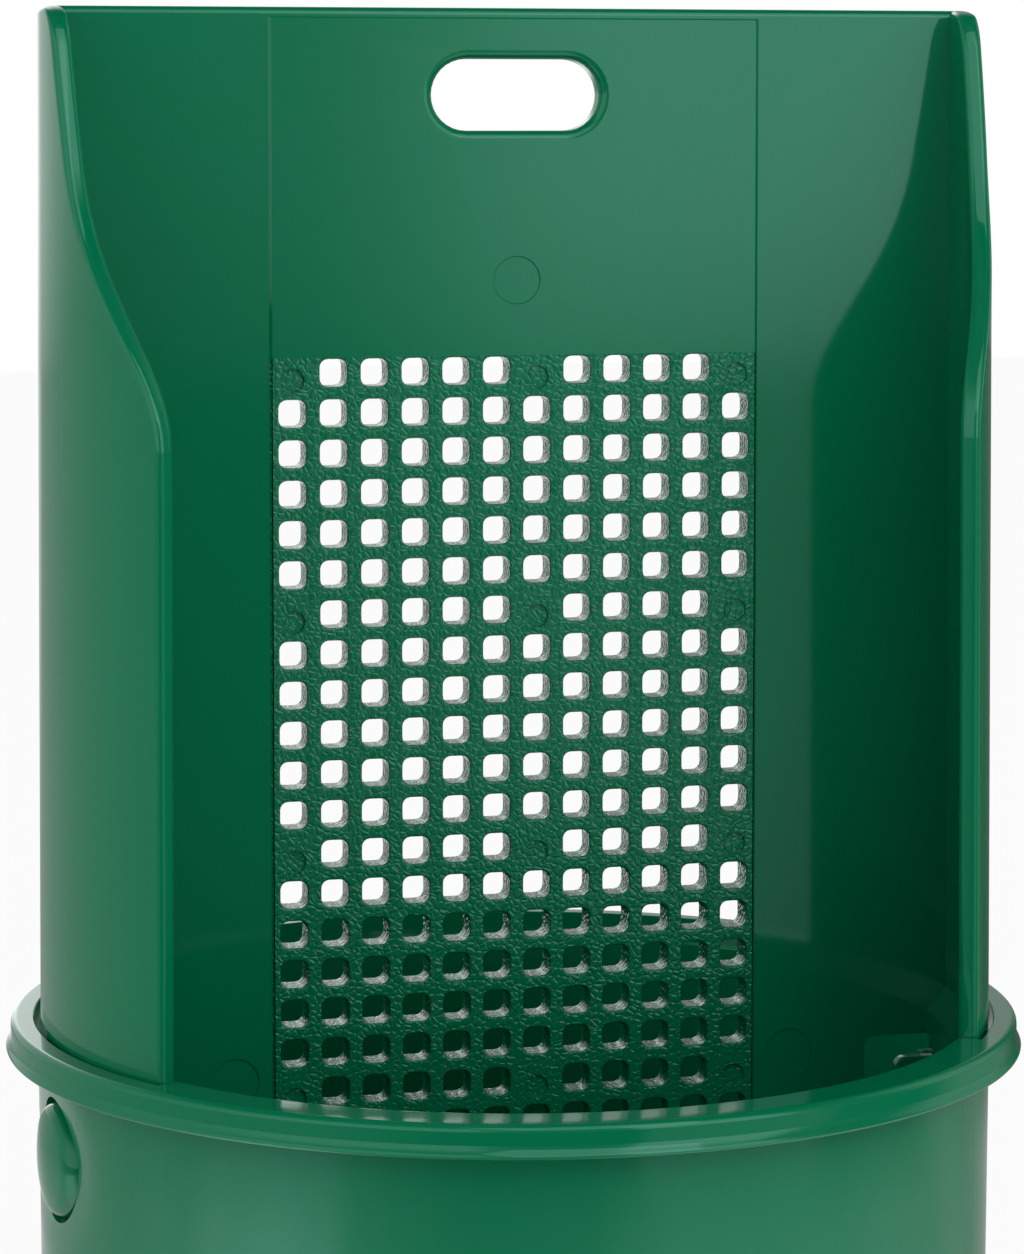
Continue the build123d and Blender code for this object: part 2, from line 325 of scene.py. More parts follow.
def close_up(shape):
    """Joins touching points and turns all faces outwards."""
    bmesh.ops.remove_doubles(shape, verts=shape.verts, dist=TOUCH)
    bmesh.ops.recalc_face_normals(shape, faces=shape.faces)


def first_at(heights, z):
    """Place in the list of the first height that is at or above z."""
    return min(i for i, height in enumerate(heights) if height >= z - TOUCH)


def build_shell():
    """Wings, back plate with its raised strip and slot, and the skirt that plugs into the cup."""
    curve = wing_edge_points()
    wing_levels = sorted(
        {round(z, 7) for _, z in curve}
        | {round(z, 7) for z in (RIM_TOP, PANEL_TOP, STRIP_TOP - STRIP_TOP_BEVEL, STRIP_TOP)}
        | {round(SHELL_TOP - TOP_ROUND, 7)}
    )
    skirt_levels = spread(SKIRT_BOTTOM, SEAT - SHOULDER, 14)
    skirt = [(z, skirt_outer(z), skirt_outer(z) - SKIRT_WALL) for z in skirt_levels]
    seat_inner = skirt_outer(SEAT) - SKIRT_WALL + SHOULDER
    skirt.append((SEAT, skirt_outer(SEAT), seat_inner))
    skirt.append((SEAT + 0.00001, shell_outer(SEAT), seat_inner))
    skirt.append((RIM_TOP - FIT, shell_outer(RIM_TOP), shell_outer(RIM_TOP) - WING_WALL))
    levels = [(z, EDGE_REACH, outer, inner, 0.0) for z, outer, inner in skirt]
    for z in wing_levels:
        outer = shell_outer(z)
        levels.append((z, reach_at(z, curve), outer, outer - WING_WALL, top_inset(z)))

    shape = bmesh.new()
    sides = {}
    for side in (1, -1):
        rows = []
        for z, reach, outer, inner, inset in levels:
            ring = half_outline(z, reach, outer, inner, inset)
            if side < 0:
                ring = [Vector((-p.x, p.y, p.z)) for p in ring]
            rows.append([shape.verts.new(p) for p in ring])
        sides[side] = rows
        count = len(rows[0])
        for k, (low, high) in enumerate(zip(rows, rows[1:])):
            beside_panel = levels[k + 1][0] <= PANEL_TOP + TOUCH
            for i in range(count if beside_panel else count - 1):
                j = (i + 1) % count
                shape.faces.new((low[i], low[j], high[j], high[i]))
        shape.faces.new(rows[0])

    # Below the skirt's walls the back plate goes on down on each side of the climbing panel
    for side in (1, -1):
        levels_down = spread(PANEL_BOTTOM, SKIRT_BOTTOM + 0.0001, 6)
        rings = []
        for z in levels_down:
            low = max(0.0, PANEL_BOTTOM + SKIRT_CORNER - z)
            r = skirt_outer(z) - SKIRT_CORNER + math.sqrt(max(SKIRT_CORNER**2 - low**2, 0))
            outline = [(STRIP_HALF, PLATE_BACK), (math.sqrt(r**2 - PLATE_BACK**2), PLATE_BACK)]
            outline += [(math.sqrt(r**2 - PLATE_FRONT**2), PLATE_FRONT), (STRIP_HALF, PLATE_FRONT)]
            rings.append([Vector((side * x, y, z)) for x, y in outline])
        plate_rows = loft(shape, rings)
        shape.faces.new(plate_rows[0])
        shape.faces.new(plate_rows[-1])

    # The middle above the climbing panel: back face, top, and front with its raised strip
    zs = [level[0] for level in levels]
    start = first_at(zs, PANEL_TOP)
    strip_end = first_at(zs, STRIP_TOP - STRIP_TOP_BEVEL)
    strip_lid = first_at(zs, STRIP_TOP)
    round_start = first_at(zs, SHELL_TOP - TOP_ROUND)
    right, left = sides[1], sides[-1]
    for k in range(round_start, len(levels) - 1):
        shape.faces.new((right[k][0], left[k][0], left[k + 1][0], right[k + 1][0]))
        shape.faces.new((right[k][-1], left[k][-1], left[k + 1][-1], right[k + 1][-1]))
    shape.faces.new(right[-1] + left[-1][::-1])
    for k in range(strip_lid, round_start):
        shape.faces.new((right[k][-1], left[k][-1], left[k + 1][-1], right[k + 1][-1]))

    turns = [math.pi / 2 * i / 6 for i in range(7)]
    slot_rings = [
        slot_ring(SLOT_ROUND * (1 - math.sin(turn)), STRIP_FRONT + SLOT_ROUND * (1 - math.cos(turn)))
        for turn in turns
    ]
    slot_rings += [
        slot_ring(SLOT_ROUND * (1 - math.cos(turn)), PLATE_BACK - SLOT_ROUND * (1 - math.sin(turn)))
        for turn in turns
    ]
    slot_rows = loft(shape, slot_rings)

    back_edge = [right[k][0] for k in range(start, round_start + 1)]
    back_edge += [left[k][0] for k in range(round_start, start - 1, -1)]
    fill_flat(shape, back_edge, [slot_rows[-1]])

    strip_x = STRIP_HALF - STRIP_SIDE_BEVEL
    strip_zs = zs[start : strip_end + 1]
    strip_right = [shape.verts.new((strip_x, STRIP_FRONT, z)) for z in strip_zs]
    strip_left = [shape.verts.new((-strip_x, STRIP_FRONT, z)) for z in strip_zs]
    for rim, side in ((strip_right, right), (strip_left, left)):
        for i in range(len(rim) - 1):
            k = start + i
            shape.faces.new((side[k][-1], rim[i], rim[i + 1], side[k + 1][-1]))
        shape.faces.new((side[strip_end][-1], rim[-1], side[strip_lid][-1]))
    shape.faces.new((right[strip_lid][-1], strip_right[-1], strip_left[-1], left[strip_lid][-1]))
    pin_rows = loft(
        shape,
        [
            disc_ring(0, PIN_Z, PIN_R, STRIP_FRONT),
            disc_ring(0, PIN_Z, PIN_R - 0.00008, STRIP_FRONT + PIN_DEPTH),
        ],
    )
    shape.faces.new(pin_rows[-1])
    fill_flat(shape, strip_right + strip_left[::-1], [slot_rows[0], pin_rows[0]])
    over_panel = [right[start][0], right[start][-1], strip_right[0]]
    over_panel += [strip_left[0], left[start][-1], left[start][0]]
    shape.faces.new(over_panel)
    close_up(shape)
    piece = new_piece("shell_moulding", shape)
    cut_latch_windows(piece)
    for side in (1, -1):
        add_pin_mark(piece, side * SIDE_PIN_X, SIDE_PIN_Z, PLATE_FRONT)
    weighted_smooth(piece, 24)
    return piece


def cut_away(target, rings):
    """Takes the solid between two rings of points out of a piece."""
    shape = bmesh.new()
    rows = loft(shape, rings)
    shape.faces.new(rows[0])
    shape.faces.new(rows[-1])
    bmesh.ops.recalc_face_normals(shape, faces=shape.faces)
    cutter = new_piece("cutter", shape)
    modifier = target.modifiers.new("opening", "BOOLEAN")
    modifier.operation = "DIFFERENCE"
    modifier.solver = "EXACT"
    modifier.object = cutter
    apply_all(target)
    bpy.data.objects.remove(cutter)


def cut_out(target, outline, y_from, y_to):
    """Takes a prism out of a piece: an outline of (x, z) points between two depths."""
    cut_away(target, [[Vector((x, y, z)) for x, z in outline] for y in (y_from, y_to)])


def cut_latch_windows(piece):
    """Windows in the skirt that free the latches, with a notch beside each in the back plate."""
    corner = NOTCH_CORNER
    near, far = WINDOW_X
    for side in (1, -1):
        window = [(near, WINDOW_BOTTOM), (far, WINDOW_BOTTOM), (far, WINDOW_TOP), (near, WINDOW_TOP)]
        cut_out(piece, [(side * x, z) for x, z in window], WINDOW_FRONT, PLATE_FRONT)
        notch = [(far, NOTCH_TOP)]
        notch += arc((NOTCH_X + corner, NOTCH_TOP - corner), corner, math.pi / 2, math.pi, 6)
        notch += [(NOTCH_X, WINDOW_BOTTOM), (far, WINDOW_BOTTOM)]
        cut_out(piece, [(side * x, z) for x, z in notch], PLATE_FRONT - 0.001, 0.004)


def add_pin_mark(piece, x, z, y):
    """A shallow round mark of an ejector pin in a front face."""
    outline = [(x + dx, z + dz) for dx, dz in arc((0, 0), PIN_R, 0, 2 * math.pi, 48)[:-1]]
    cut_out(piece, outline, y - 0.001, y + PIN_DEPTH)


# The perforated climbing panel


def hole_ring(x, z, offset, y):
    """A rounded square's outline round (x, z), grown by offset, at depth y."""
    half = HOLE / 2 + offset
    radius = HOLE_CORNER + offset
    points = []
    for i, (sx, sz) in enumerate(((1, 1), (-1, 1), (-1, -1), (1, -1))):
        centre = (x + sx * (half - radius), z + sz * (half - radius))
        points += arc(centre, radius, i * math.pi / 2, (i + 1) * math.pi / 2, 4)
    return [Vector((px, y, pz)) for px, pz in points]


def frame_cell(shape, ring, corners):
    """Fills between a hole's outline and the four corners of its cell."""
    quarter = len(ring) // 4
    for i in range(4):
        start = i * quarter + quarter // 2
        side = [ring[(start + k) % len(ring)] for k in range(quarter + 1)]
        shape.faces.new([corners[i], corners[(i + 1) % 4]] + side[::-1])


def build_panel():
    """The climbing panel, cell by cell: most have a hole, a few are blank with a pin mark."""
    shape = bmesh.new()
    rows = int((FIRST_ROW - PANEL_BOTTOM - LAST_ROW_MARGIN - HOLE / 2) / PITCH_Z) + 1
    lines_x = [(c - COLUMNS / 2) * PITCH_X for c in range(COLUMNS + 1)]
    lines_z = [FIRST_ROW + PITCH_Z / 2 - r * PITCH_Z for r in range(rows + 1)]
    lines_z[0], lines_z[-1] = PANEL_TOP, PANEL_BOTTOM
    faces = {"front": STRIP_FRONT, "back": PLATE_BACK}
    lattice = {
        name: [[shape.verts.new((x, y, z)) for x in lines_x] for z in lines_z]
        for name, y in faces.items()
    }
    corners = ((0, 1), (0, 0), (1, 0), (1, 1))
    for r in range(rows):
        for c in range(COLUMNS):
            x = (lines_x[c] + lines_x[c + 1]) / 2
            z = FIRST_ROW - r * PITCH_Z
            front = [lattice["front"][r + a][c + b] for a, b in corners]
            back = [lattice["back"][r + a][c + b] for a, b in corners]
            if r % BLANK_EVERY == 0 and c in BLANK_COLUMNS:
                pin_z = z - SMALL_PIN_DROP
                pin = [
                    disc_ring(x, pin_z, SMALL_PIN_R, STRIP_FRONT, 20),
                    disc_ring(x, pin_z, SMALL_PIN_R - 0.00006, STRIP_FRONT + SMALL_PIN_DEPTH, 20),
                ]
                loops = loft(shape, pin)
                shape.faces.new(loops[-1]).material_index = 1
                frame_cell(shape, loops[0], front)
                shape.faces.new(back)
                continue
            rings = [
                hole_ring(x, z, 0.00024, STRIP_FRONT),
                hole_ring(x, z, 0.00009, STRIP_FRONT + 0.00005),
                hole_ring(x, z, 0.0, STRIP_FRONT + 0.00022),
                hole_ring(x, z, 0.0, PLATE_BACK - 0.0001),
                hole_ring(x, z, 0.0001, PLATE_BACK),
            ]
            if r == 0:
                for ring in rings:
                    for p in ring:
                        p.z = min(p.z, PANEL_TOP - 0.00003)
            loops = loft(shape, rings)
            frame_cell(shape, loops[0], front)
            frame_cell(shape, loops[-1], back)
    for c, x in ((0, -STRIP_HALF), (COLUMNS, STRIP_HALF)):
        inside = x - math.copysign(STRIP_SIDE_BEVEL, x)
        for r in range(rows):
            a, b = lattice["front"][r][c], lattice["front"][r + 1][c]
            e, f = lattice["back"][r][c], lattice["back"][r + 1][c]
            za, zb = lines_z[r], lines_z[r + 1]
            profile = [(inside, STRIP_FRONT), (x, PLATE_FRONT), (x, PLATE_BACK)]
            top = [a] + [shape.verts.new((px, py, za)) for px, py in profile] + [e]
            bottom = [b] + [shape.verts.new((px, py, zb)) for px, py in profile] + [f]
            for i in range(len(top) - 1):
                shape.faces.new((top[i], top[i + 1], bottom[i + 1], bottom[i]))
    bmesh.ops.remove_doubles(shape, verts=shape.verts, dist=TOUCH)
    ends = [edge for edge in shape.edges if edge.is_boundary]
    bmesh.ops.edgenet_fill(shape, edges=ends)
    bmesh.ops.recalc_face_normals(shape, faces=shape.faces)
    piece = new_piece("perforated_panel", shape)
    weighted_smooth(piece)
    return piece


# The cup


def rounded(corner, before, after, radius, steps=5):
    """Points (r, z) that round a corner of a profile."""
    a = (Vector(before) - Vector(corner)).normalized()
    b = (Vector(after) - Vector(corner)).normalized()
    half = a.angle(b) / 2
    reach = radius / math.tan(half)
    start, end = Vector(corner) + a * reach, Vector(corner) + b * reach
    centre = Vector(corner) + (a + b).normalized() * radius / math.sin(half)
    points = []
    for i in range(steps + 1):
        t = i / steps
        direction = (start - centre).normalized().slerp((end - centre).normalized(), t)
        points.append(centre + direction * radius)
    return [(p.x, p.y) for p in points]


def cup_profile(filled):
    """Outline of the cup's wall from the underside to the floor; filled closes the channel."""
    under = RIM_TOP - RIM_HEIGHT
    foot, top = (CUP_BASE_R, 0), (CUP_TOP_R, under)
    collar, lip = (RIM_R + RIM_FLARE, under), (RIM_R, RIM_TOP)
    points = [(CUP_MIDDLE_R, 0)]
    points += rounded(foot, (0, 0), top, CUP_FOOT_ROUND, 8)
    points += [(cup_outer(z), z) for z in spread(0.006, under - 0.0004, 46)]
    points += rounded(top, foot, collar, 0.0003, 3)
    points += rounded(collar, top, (collar[0], RIM_TOP), RIM_FOOT_ROUND, 5)
    for out, rise in ((0.0003, 0.0006), (0.0001, 0.0009), (0, 0.0013)):
        points.append((RIM_R + out, under + rise))
    points += rounded(lip, (RIM_R, under), (0, RIM_TOP), RIM_ROUND, 7)
    inner = cup_inner(SEAT)
    if filled:
        floor_z = RIM_TOP
        points += [(CHANNEL_R + 0.0002, RIM_TOP), (CHANNEL_R, RIM_TOP), (CHANNEL_R - 0.00005, RIM_TOP)]
    else:
        floor_z = SEAT
        points += [(CHANNEL_R + 0.0001, RIM_TOP), (CHANNEL_R, RIM_TOP - 0.0001), (CHANNEL_R, SEAT)]
    points += [(inner + 0.0005, floor_z)]
    points += rounded((inner, floor_z), (CHANNEL_R, floor_z), (inner, 0.05), 0.0003, 4)
    points += [(cup_inner(z), z) for z in spread(SEAT - 0.001, 0.0055, 26)]
    corner = (cup_inner(CUP_FLOOR), CUP_FLOOR)
    points += rounded(corner, (inner, SEAT), (0, CUP_FLOOR), CUP_FLOOR_ROUND, 6)
    points += [(CUP_MIDDLE_R, CUP_FLOOR)]
    return points


def dish(angle, z, r):
    """How deep the soft finger dish is at a point of the cup's outside."""
    if r < cup_outer(z) - 0.0003 or z > RIM_TOP - RIM_HEIGHT - 0.00005:
        return 0.0
    across = r * (abs(angle) - BUTTON_ANGLE) / DISH_HALF_W
    up = (z - BUTTON_Z) / (RIM_TOP - RIM_HEIGHT - BUTTON_Z)
    share = max(0.0, 1 - across**2 - up**2)
    return DISH_DEPTH * share * min(1.0, 4 * share)


def build_cup():
    """The feeding cup with its finger dishes and button holes; its channel is filled in front."""
    shape = bmesh.new()
    end_angle = math.acos(EDGE_REACH / SHELL_BASE_R) - FIT / SHELL_BASE_R
    angles = [(a, True) for a in spread(-end_angle, end_angle, 56)]
    rest = spread(end_angle + 0.0002, 2 * math.pi - end_angle - 0.0002, 124)
    angles += [(a, False) for a in rest]
    profiles = {filled: cup_profile(filled) for filled in (True, False)}
    rows = []
    for angle, filled in angles:
        turn = angle if angle <= math.pi else angle - 2 * math.pi
        row = []
        for r, z in profiles[filled]:
            r -= dish(turn, z, r)
            row.append(shape.verts.new((r * math.sin(turn), -r * math.cos(turn), z)))
        rows.append(row)
    for one, two in zip(rows, rows[1:] + rows[:1]):
        for i in range(len(one) - 1):
            shape.faces.new((one[i], two[i], two[i + 1], one[i + 1]))
    shape.faces.new([row[0] for row in rows])
    shape.faces.new([row[-1] for row in rows])
    bmesh.ops.recalc_face_normals(shape, faces=shape.faces)
    piece = new_piece("cup_moulding", shape)
    for side in (1, -1):
        cut_button_hole(piece, side)
    weighted_smooth(piece)
    return piece


def cut_button_hole(piece, side):
    """Oval hole through the cup's wall for a latch button."""
    turn = side * BUTTON_ANGLE
    outward = Vector((math.sin(turn), -math.cos(turn), 0))
    across = outward.cross(UP)
    middle = Vector((0, 0, BUTTON_Z))
    half_w, half_h = BUTTON_HALF_W + BUTTON_GAP, BUTTON_HALF_H + BUTTON_GAP
    oval = [
        half_w * math.cos(a) * across + half_h * math.sin(a) * UP
        for a in spread(0, 2 * math.pi, 64)[:-1]
    ]
    cut_away(piece, [[middle + outward * r + p for p in oval] for r in (0.03, 0.06)])


# The latches


def tab_plan(z, tip):
    """The latch's plan at a height: skirt wall in front, arm in the back plate's plane behind."""
    outer = skirt_outer(z)
    inner = outer - SKIRT_WALL
    front, back = TAB_FRONT + tip, PLATE_BACK
    wall_out = arc((0, 0), outer, math.asin(front / outer), math.asin(back / outer), 10)
    wall_in = arc((0, 0), inner, math.asin(PLATE_FRONT / inner), math.asin(front / inner), 8)
    return wall_out, wall_in


def build_latch(side, name):
    """A spring tab in the skirt's wall with its arm beside the back plate and its oval button."""
    shape = bmesh.new()
    corner = TAB_CORNER
    heights = spread(TAB_BOTTOM, TAB_TOP - corner, 12)[:-1]
    heights += [TAB_TOP - corner + corner * math.sin(math.pi / 2 * i / 8) for i in range(9)]
    rings = []
    for z in heights:
        over = max(z - TAB_TOP + corner, 0)
        tip = corner - math.sqrt(max(corner**2 - over**2, 0))
        wall_out, wall_in = tab_plan(z, tip)
        plan = wall_out + [(wall_in[0][0], PLATE_BACK)] + wall_in
        rings.append([Vector((side * x, y, z)) for x, y in plan])
    rows = loft(shape, rings)
    shape.faces.new(rows[0])
    shape.faces.new(rows[-1])
    add_arm(shape, side)
    add_button(shape, side)
    bmesh.ops.recalc_face_normals(shape, faces=shape.faces)
    piece = new_piece(name, shape)
    weighted_smooth(piece, 35)
    return piece


def add_arm(shape, side):
    """The part of the latch in the back plate's plane, with a rounded corner and edge."""
    corner, edge = ARM_CORNER, ARM_EDGE
    bottom = TAB_BOTTOM + ARM_RISE
    wall_x = skirt_outer(TAB_TOP) - SKIRT_WALL / 2
    rings = []
    for inset, depth in ((edge, 0), (0.3 * edge, 0.3 * edge), (0, edge), (0, ARM_THICKNESS)):
        y = PLATE_FRONT + depth
        outline = [(wall_x, TAB_TOP - inset)]
        outline += arc((ARM_X + corner, TAB_TOP - corner), corner - inset, math.pi / 2, math.pi, 8)
        outline += [(ARM_X + inset, bottom), (skirt_outer(bottom) - SKIRT_WALL / 2, bottom)]
        rings.append([Vector((side * x, y, z)) for x, z in outline])
    rows = loft(shape, rings)
    shape.faces.new(rows[0])
    shape.faces.new(rows[-1])


def add_button(shape, side):
    """The oval button: an upright wall, a rounded edge and a gently domed face."""
    turn = side * BUTTON_ANGLE
    outward = Vector((math.sin(turn), -math.cos(turn), 0))
    across = outward.cross(UP)
    peak = cup_outer(BUTTON_Z) + BUTTON_PROUD
    edge = BUTTON_EDGE_R
    inset = edge / BUTTON_HALF_W
    profile = [(1.0, lower) for lower in (0.0045, 0.0038, 0.0030, 0.0022, edge)]
    for a in spread(0, math.pi / 2, 13)[1:]:
        profile.append((1 - inset * (1 - math.cos(a)), edge * (1 - math.sin(a))))
    profile += [(share, 0.0) for share in spread(0.97 - inset, 0.05, 12)]
    rings = []
    for share, lower in profile:
        ring = []
        for a in spread(0, 2 * math.pi, 64)[:-1]:
            u = share * BUTTON_HALF_W * math.cos(a)
            w = share * BUTTON_HALF_H * math.sin(a)
            height = peak - (u**2 + w**2) / (2 * BUTTON_DOME_R) - lower
            ring.append(outward * height + across * u + Vector((0, 0, BUTTON_Z + w)))
        rings.append(ring)
    rows = loft(shape, rings)
    shape.faces.new(rows[0])
    shape.faces.new(rows[-1])


# Materials

PLASTIC_IOR = 1.52
HIGHLIGHT_TINT = (0.55, 1, 0.9, 1)
GLOSS_GREENS = ((0.0002, 0.160, 0.066, 1), (0.0003, 0.176, 0.074, 1))
GLOSS_ROUGHNESS = 0.05
GLOSS_BUMP = 0.0000008
GRAINED_GREENS = ((0.0002, 0.152, 0.064, 1), (0.0003, 0.168, 0.071, 1))
GRAINED_ROUGHNESS = 0.16
GRAIN_BUMP = 0.00004


def shader_group(name, inputs, outputs):
    """An empty node group with named inputs and outputs."""
    group = bpy.data.node_groups.new(name, "ShaderNodeTree")
    for label, kind, value in inputs:
        socket = group.interface.new_socket(label, in_out="INPUT", socket_type=kind)
        if value is not None:
            socket.default_value = value
    for label, kind in outputs:
        group.interface.new_socket(label, in_out="OUTPUT", socket_type=kind)
    return group, group.nodes.new("NodeGroupInput"), group.nodes.new("NodeGroupOutput")


def make_flow_group():
    """Slow drift of colour and gloss, as moulded plastic has from its flow in the mould."""
    group, inlet, outlet = shader_group(
        "moulding_flow",
        [
            ("Colour A", "NodeSocketColor", None),
            ("Colour B", "NodeSocketColor", None),
            ("Gloss", "NodeSocketFloat", 0.15),
        ],
        [
            ("Colour", "NodeSocketColor"),
            ("Roughness", "NodeSocketFloat"),
            ("Height", "NodeSocketFloat"),
        ],
    )
    nodes, links = group.nodes, group.links
    place = nodes.new("ShaderNodeTexCoord")
    slow = nodes.new("ShaderNodeTexNoise")
    slow.inputs["Scale"].default_value = 28
    slow.inputs["Detail"].default_value = 3
    fine = nodes.new("ShaderNodeTexNoise")
    fine.inputs["Scale"].default_value = 900
    fine.inputs["Detail"].default_value = 4
    mix = nodes.new("ShaderNodeMix")
    mix.data_type = "RGBA"
    for texture in (slow, fine):
        links.new(place.outputs["Object"], texture.inputs["Vector"])
    links.new(slow.outputs["Fac"], mix.inputs["Factor"])
    links.new(inlet.outputs["Colour A"], mix.inputs[6])
    links.new(inlet.outputs["Colour B"], mix.inputs[7])
    links.new(mix.outputs[2], outlet.inputs["Colour"])
    rough = nodes.new("ShaderNodeMath")
    rough.operation = "MULTIPLY_ADD"
    rough.inputs[1].default_value = 0.06
    links.new(fine.outputs["Fac"], rough.inputs[0])
    links.new(inlet.outputs["Gloss"], rough.inputs[2])
    links.new(rough.outputs[0], outlet.inputs["Roughness"])
    links.new(fine.outputs["Fac"], outlet.inputs["Height"])
    return group


def make_grain_group():
    """A fine leather-like mould grain: irregular raised cells with narrow valleys."""
    group, inlet, outlet = shader_group(
        "leather_grain", [("Scale", "NodeSocketFloat", 1500.0)], [("Height", "NodeSocketFloat")]
    )
    nodes, links = group.nodes, group.links
    place = nodes.new("ShaderNodeTexCoord")
    bend = nodes.new("ShaderNodeTexNoise")
    bend.inputs["Scale"].default_value = 600
    push = nodes.new("ShaderNodeVectorMath")
    push.operation = "MULTIPLY_ADD"
    push.inputs[1].default_value = (0.0008, 0.0008, 0.0008)
    cells = nodes.new("ShaderNodeTexVoronoi")
    cells.feature = "DISTANCE_TO_EDGE"
    links.new(place.outputs["Object"], bend.inputs["Vector"])
    links.new(bend.outputs["Color"], push.inputs[0])
    links.new(place.outputs["Object"], push.inputs[2])
    links.new(push.outputs["Vector"], cells.inputs["Vector"])
    links.new(inlet.outputs["Scale"], cells.inputs["Scale"])
    level = nodes.new("ShaderNodeMapRange")
    level.interpolation_type = "SMOOTHSTEP"
    level.inputs["From Min"].default_value = 0.0
    level.inputs["From Max"].default_value = 0.28
    links.new(cells.outputs["Distance"], level.inputs["Value"])
    links.new(level.outputs["Result"], outlet.inputs["Height"])
    return group


def plastic(name, flow, colours, gloss, bump, grain=None):
    """Glossy green plastic; grain adds a moulded texture."""
    material = bpy.data.materials.new(name)
    material.use_nodes = True
    nodes, links = material.node_tree.nodes, material.node_tree.links
    shader = nodes["Principled BSDF"]
    shader.inputs["IOR"].default_value = PLASTIC_IOR
    shader.inputs["Specular Tint"].default_value = HIGHLIGHT_TINT
    drift = nodes.new("ShaderNodeGroup")
    drift.node_tree = flow
    drift.inputs["Colour A"].default_value = colours[0]
    drift.inputs["Colour B"].default_value = colours[1]
    drift.inputs["Gloss"].default_value = gloss
    links.new(drift.outputs["Colour"], shader.inputs["Base Color"])
    links.new(drift.outputs["Roughness"], shader.inputs["Roughness"])
    raise_it = nodes.new("ShaderNodeBump")
    raise_it.inputs["Strength"].default_value = 1.0
    raise_it.inputs["Distance"].default_value = bump
    if grain:
        texture = nodes.new("ShaderNodeGroup")
        texture.node_tree = grain
        links.new(texture.outputs["Height"], raise_it.inputs["Height"])
    else:
        links.new(drift.outputs["Height"], raise_it.inputs["Height"])
    links.new(raise_it.outputs["Normal"], shader.inputs["Normal"])
    return material


def dress(piece, material, body, node):
    """Gives a piece its material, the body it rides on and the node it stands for."""
    piece.data.materials.clear()
    piece.data.materials.append(material)
    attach(piece, body)
    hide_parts(node)


flow = make_flow_group()
grain = make_grain_group()
green = plastic("gloss_green_plastic", flow, GLOSS_GREENS, GLOSS_ROUGHNESS, GLOSS_BUMP)
grained = plastic("grained_green_plastic", flow, GRAINED_GREENS, GRAINED_ROUGHNESS, GRAIN_BUMP, grain)

dress(build_shell(), green, "shell", "back_shell")
panel = build_panel()
dress(panel, grained, "shell", "climbing_panel")
# The pin marks in the blank cells are smooth
panel.data.materials.append(green)
dress(build_cup(), green, "cup", "feeding_cup")
dress(build_latch(-1, "left_latch_tab"), green, "latch_left", "left_latch")
dress(build_latch(1, "right_latch_tab"), green, "latch_right", "right_latch")

# Stage: a pale floor and a white room

FLOOR_WHITE_SHARE = 0.92
# Where the near floor's glow passes into the far floor's
FLOOR_NEAR_END, FLOOR_FAR_START = 0.2, 0.27
# Brightness round the object: angle from the front towards the right, and level. Light is what falls
# on the object, gloss is what its surface mirrors, and the floor near and far glows to mirrored rays
# as a painted reflection.
ROOM_LIGHT = ((-180, 0.45), (-145, 1.0), (-96, 2.2), (-60, 1.4), (-40, 0.3), (-20, 0.18), (10, 0.25))
ROOM_LIGHT += ((16, 1.2), (45, 1.6), (60, 1.75), (90, 1.65), (115, 1.6), (145, 0.9), (180, 0.45))
ROOM_GLOSS = ((-180, 2.2), (-168, 0.8), (-130, 0.5), (-96, 0.7), (-60, 1.3), (-24, 1.3), (-18, 0.45))
ROOM_GLOSS += ((-12, 0.2), (7, 0.2), (11, 0.45), (15, 2.0), (44, 2.0), (56, 0.3), (76, 0.1), (98, 0.7))
ROOM_GLOSS += ((112, 0.5), (138, 0.04), (162, 0.5), (180, 2.2))
FLOOR_FAR = ((-180, 1.8), (-166, 0.4), (-130, 0.42), (-60, 0.42), (-20, 0.05), (11, 0.05), (15, 0.5))
FLOOR_FAR += ((50, 0.5), (60, 0.1), (80, 0.05), (98, 0.4), (115, 0.25), (135, 0.05), (163, 0.2))
FLOOR_FAR += ((180, 1.8),)
FLOOR_NEAR = ((-180, 1.0), (-160, 0.6), (-135, 0.5), (-110, 0.6), (-90, 1.0), (-78, 1.7), (-64, 2.1))
FLOOR_NEAR += ((-54, 1.8), (-46, 0.9), (-36, 0.6), (-20, 0.4), (0, 0.5), (12, 1.0), (22, 1.25))
FLOOR_NEAR += ((44, 1.15), (67, 0.95), (96, 0.55), (115, 0.35), (148, 0.4), (180, 1.0))
# Brightness by height, from straight down (0) over the horizon (0.5) to straight up (1)
ROOM_HEIGHTS = ((0.44, 0.25), (0.5, 1), (0.74, 1), (0.92, 0.1))
LENS, SENSOR, SHIFT = 117.97, 36, (0.0042, -0.15)
CAMERA_PLACE = (-0.09714, -0.39466, 0.14875)
CAMERA_TILT, CAMERA_TURN = math.radians(90 - 4.496), math.radians(-13.733)
LAMP_PLACE, LAMP_AIM = Vector((0.1, -0.78, 0.88)), Vector((0, 0, 0.09))
LAMP_WIDTH, LAMP_POWER = 0.8, 3.0


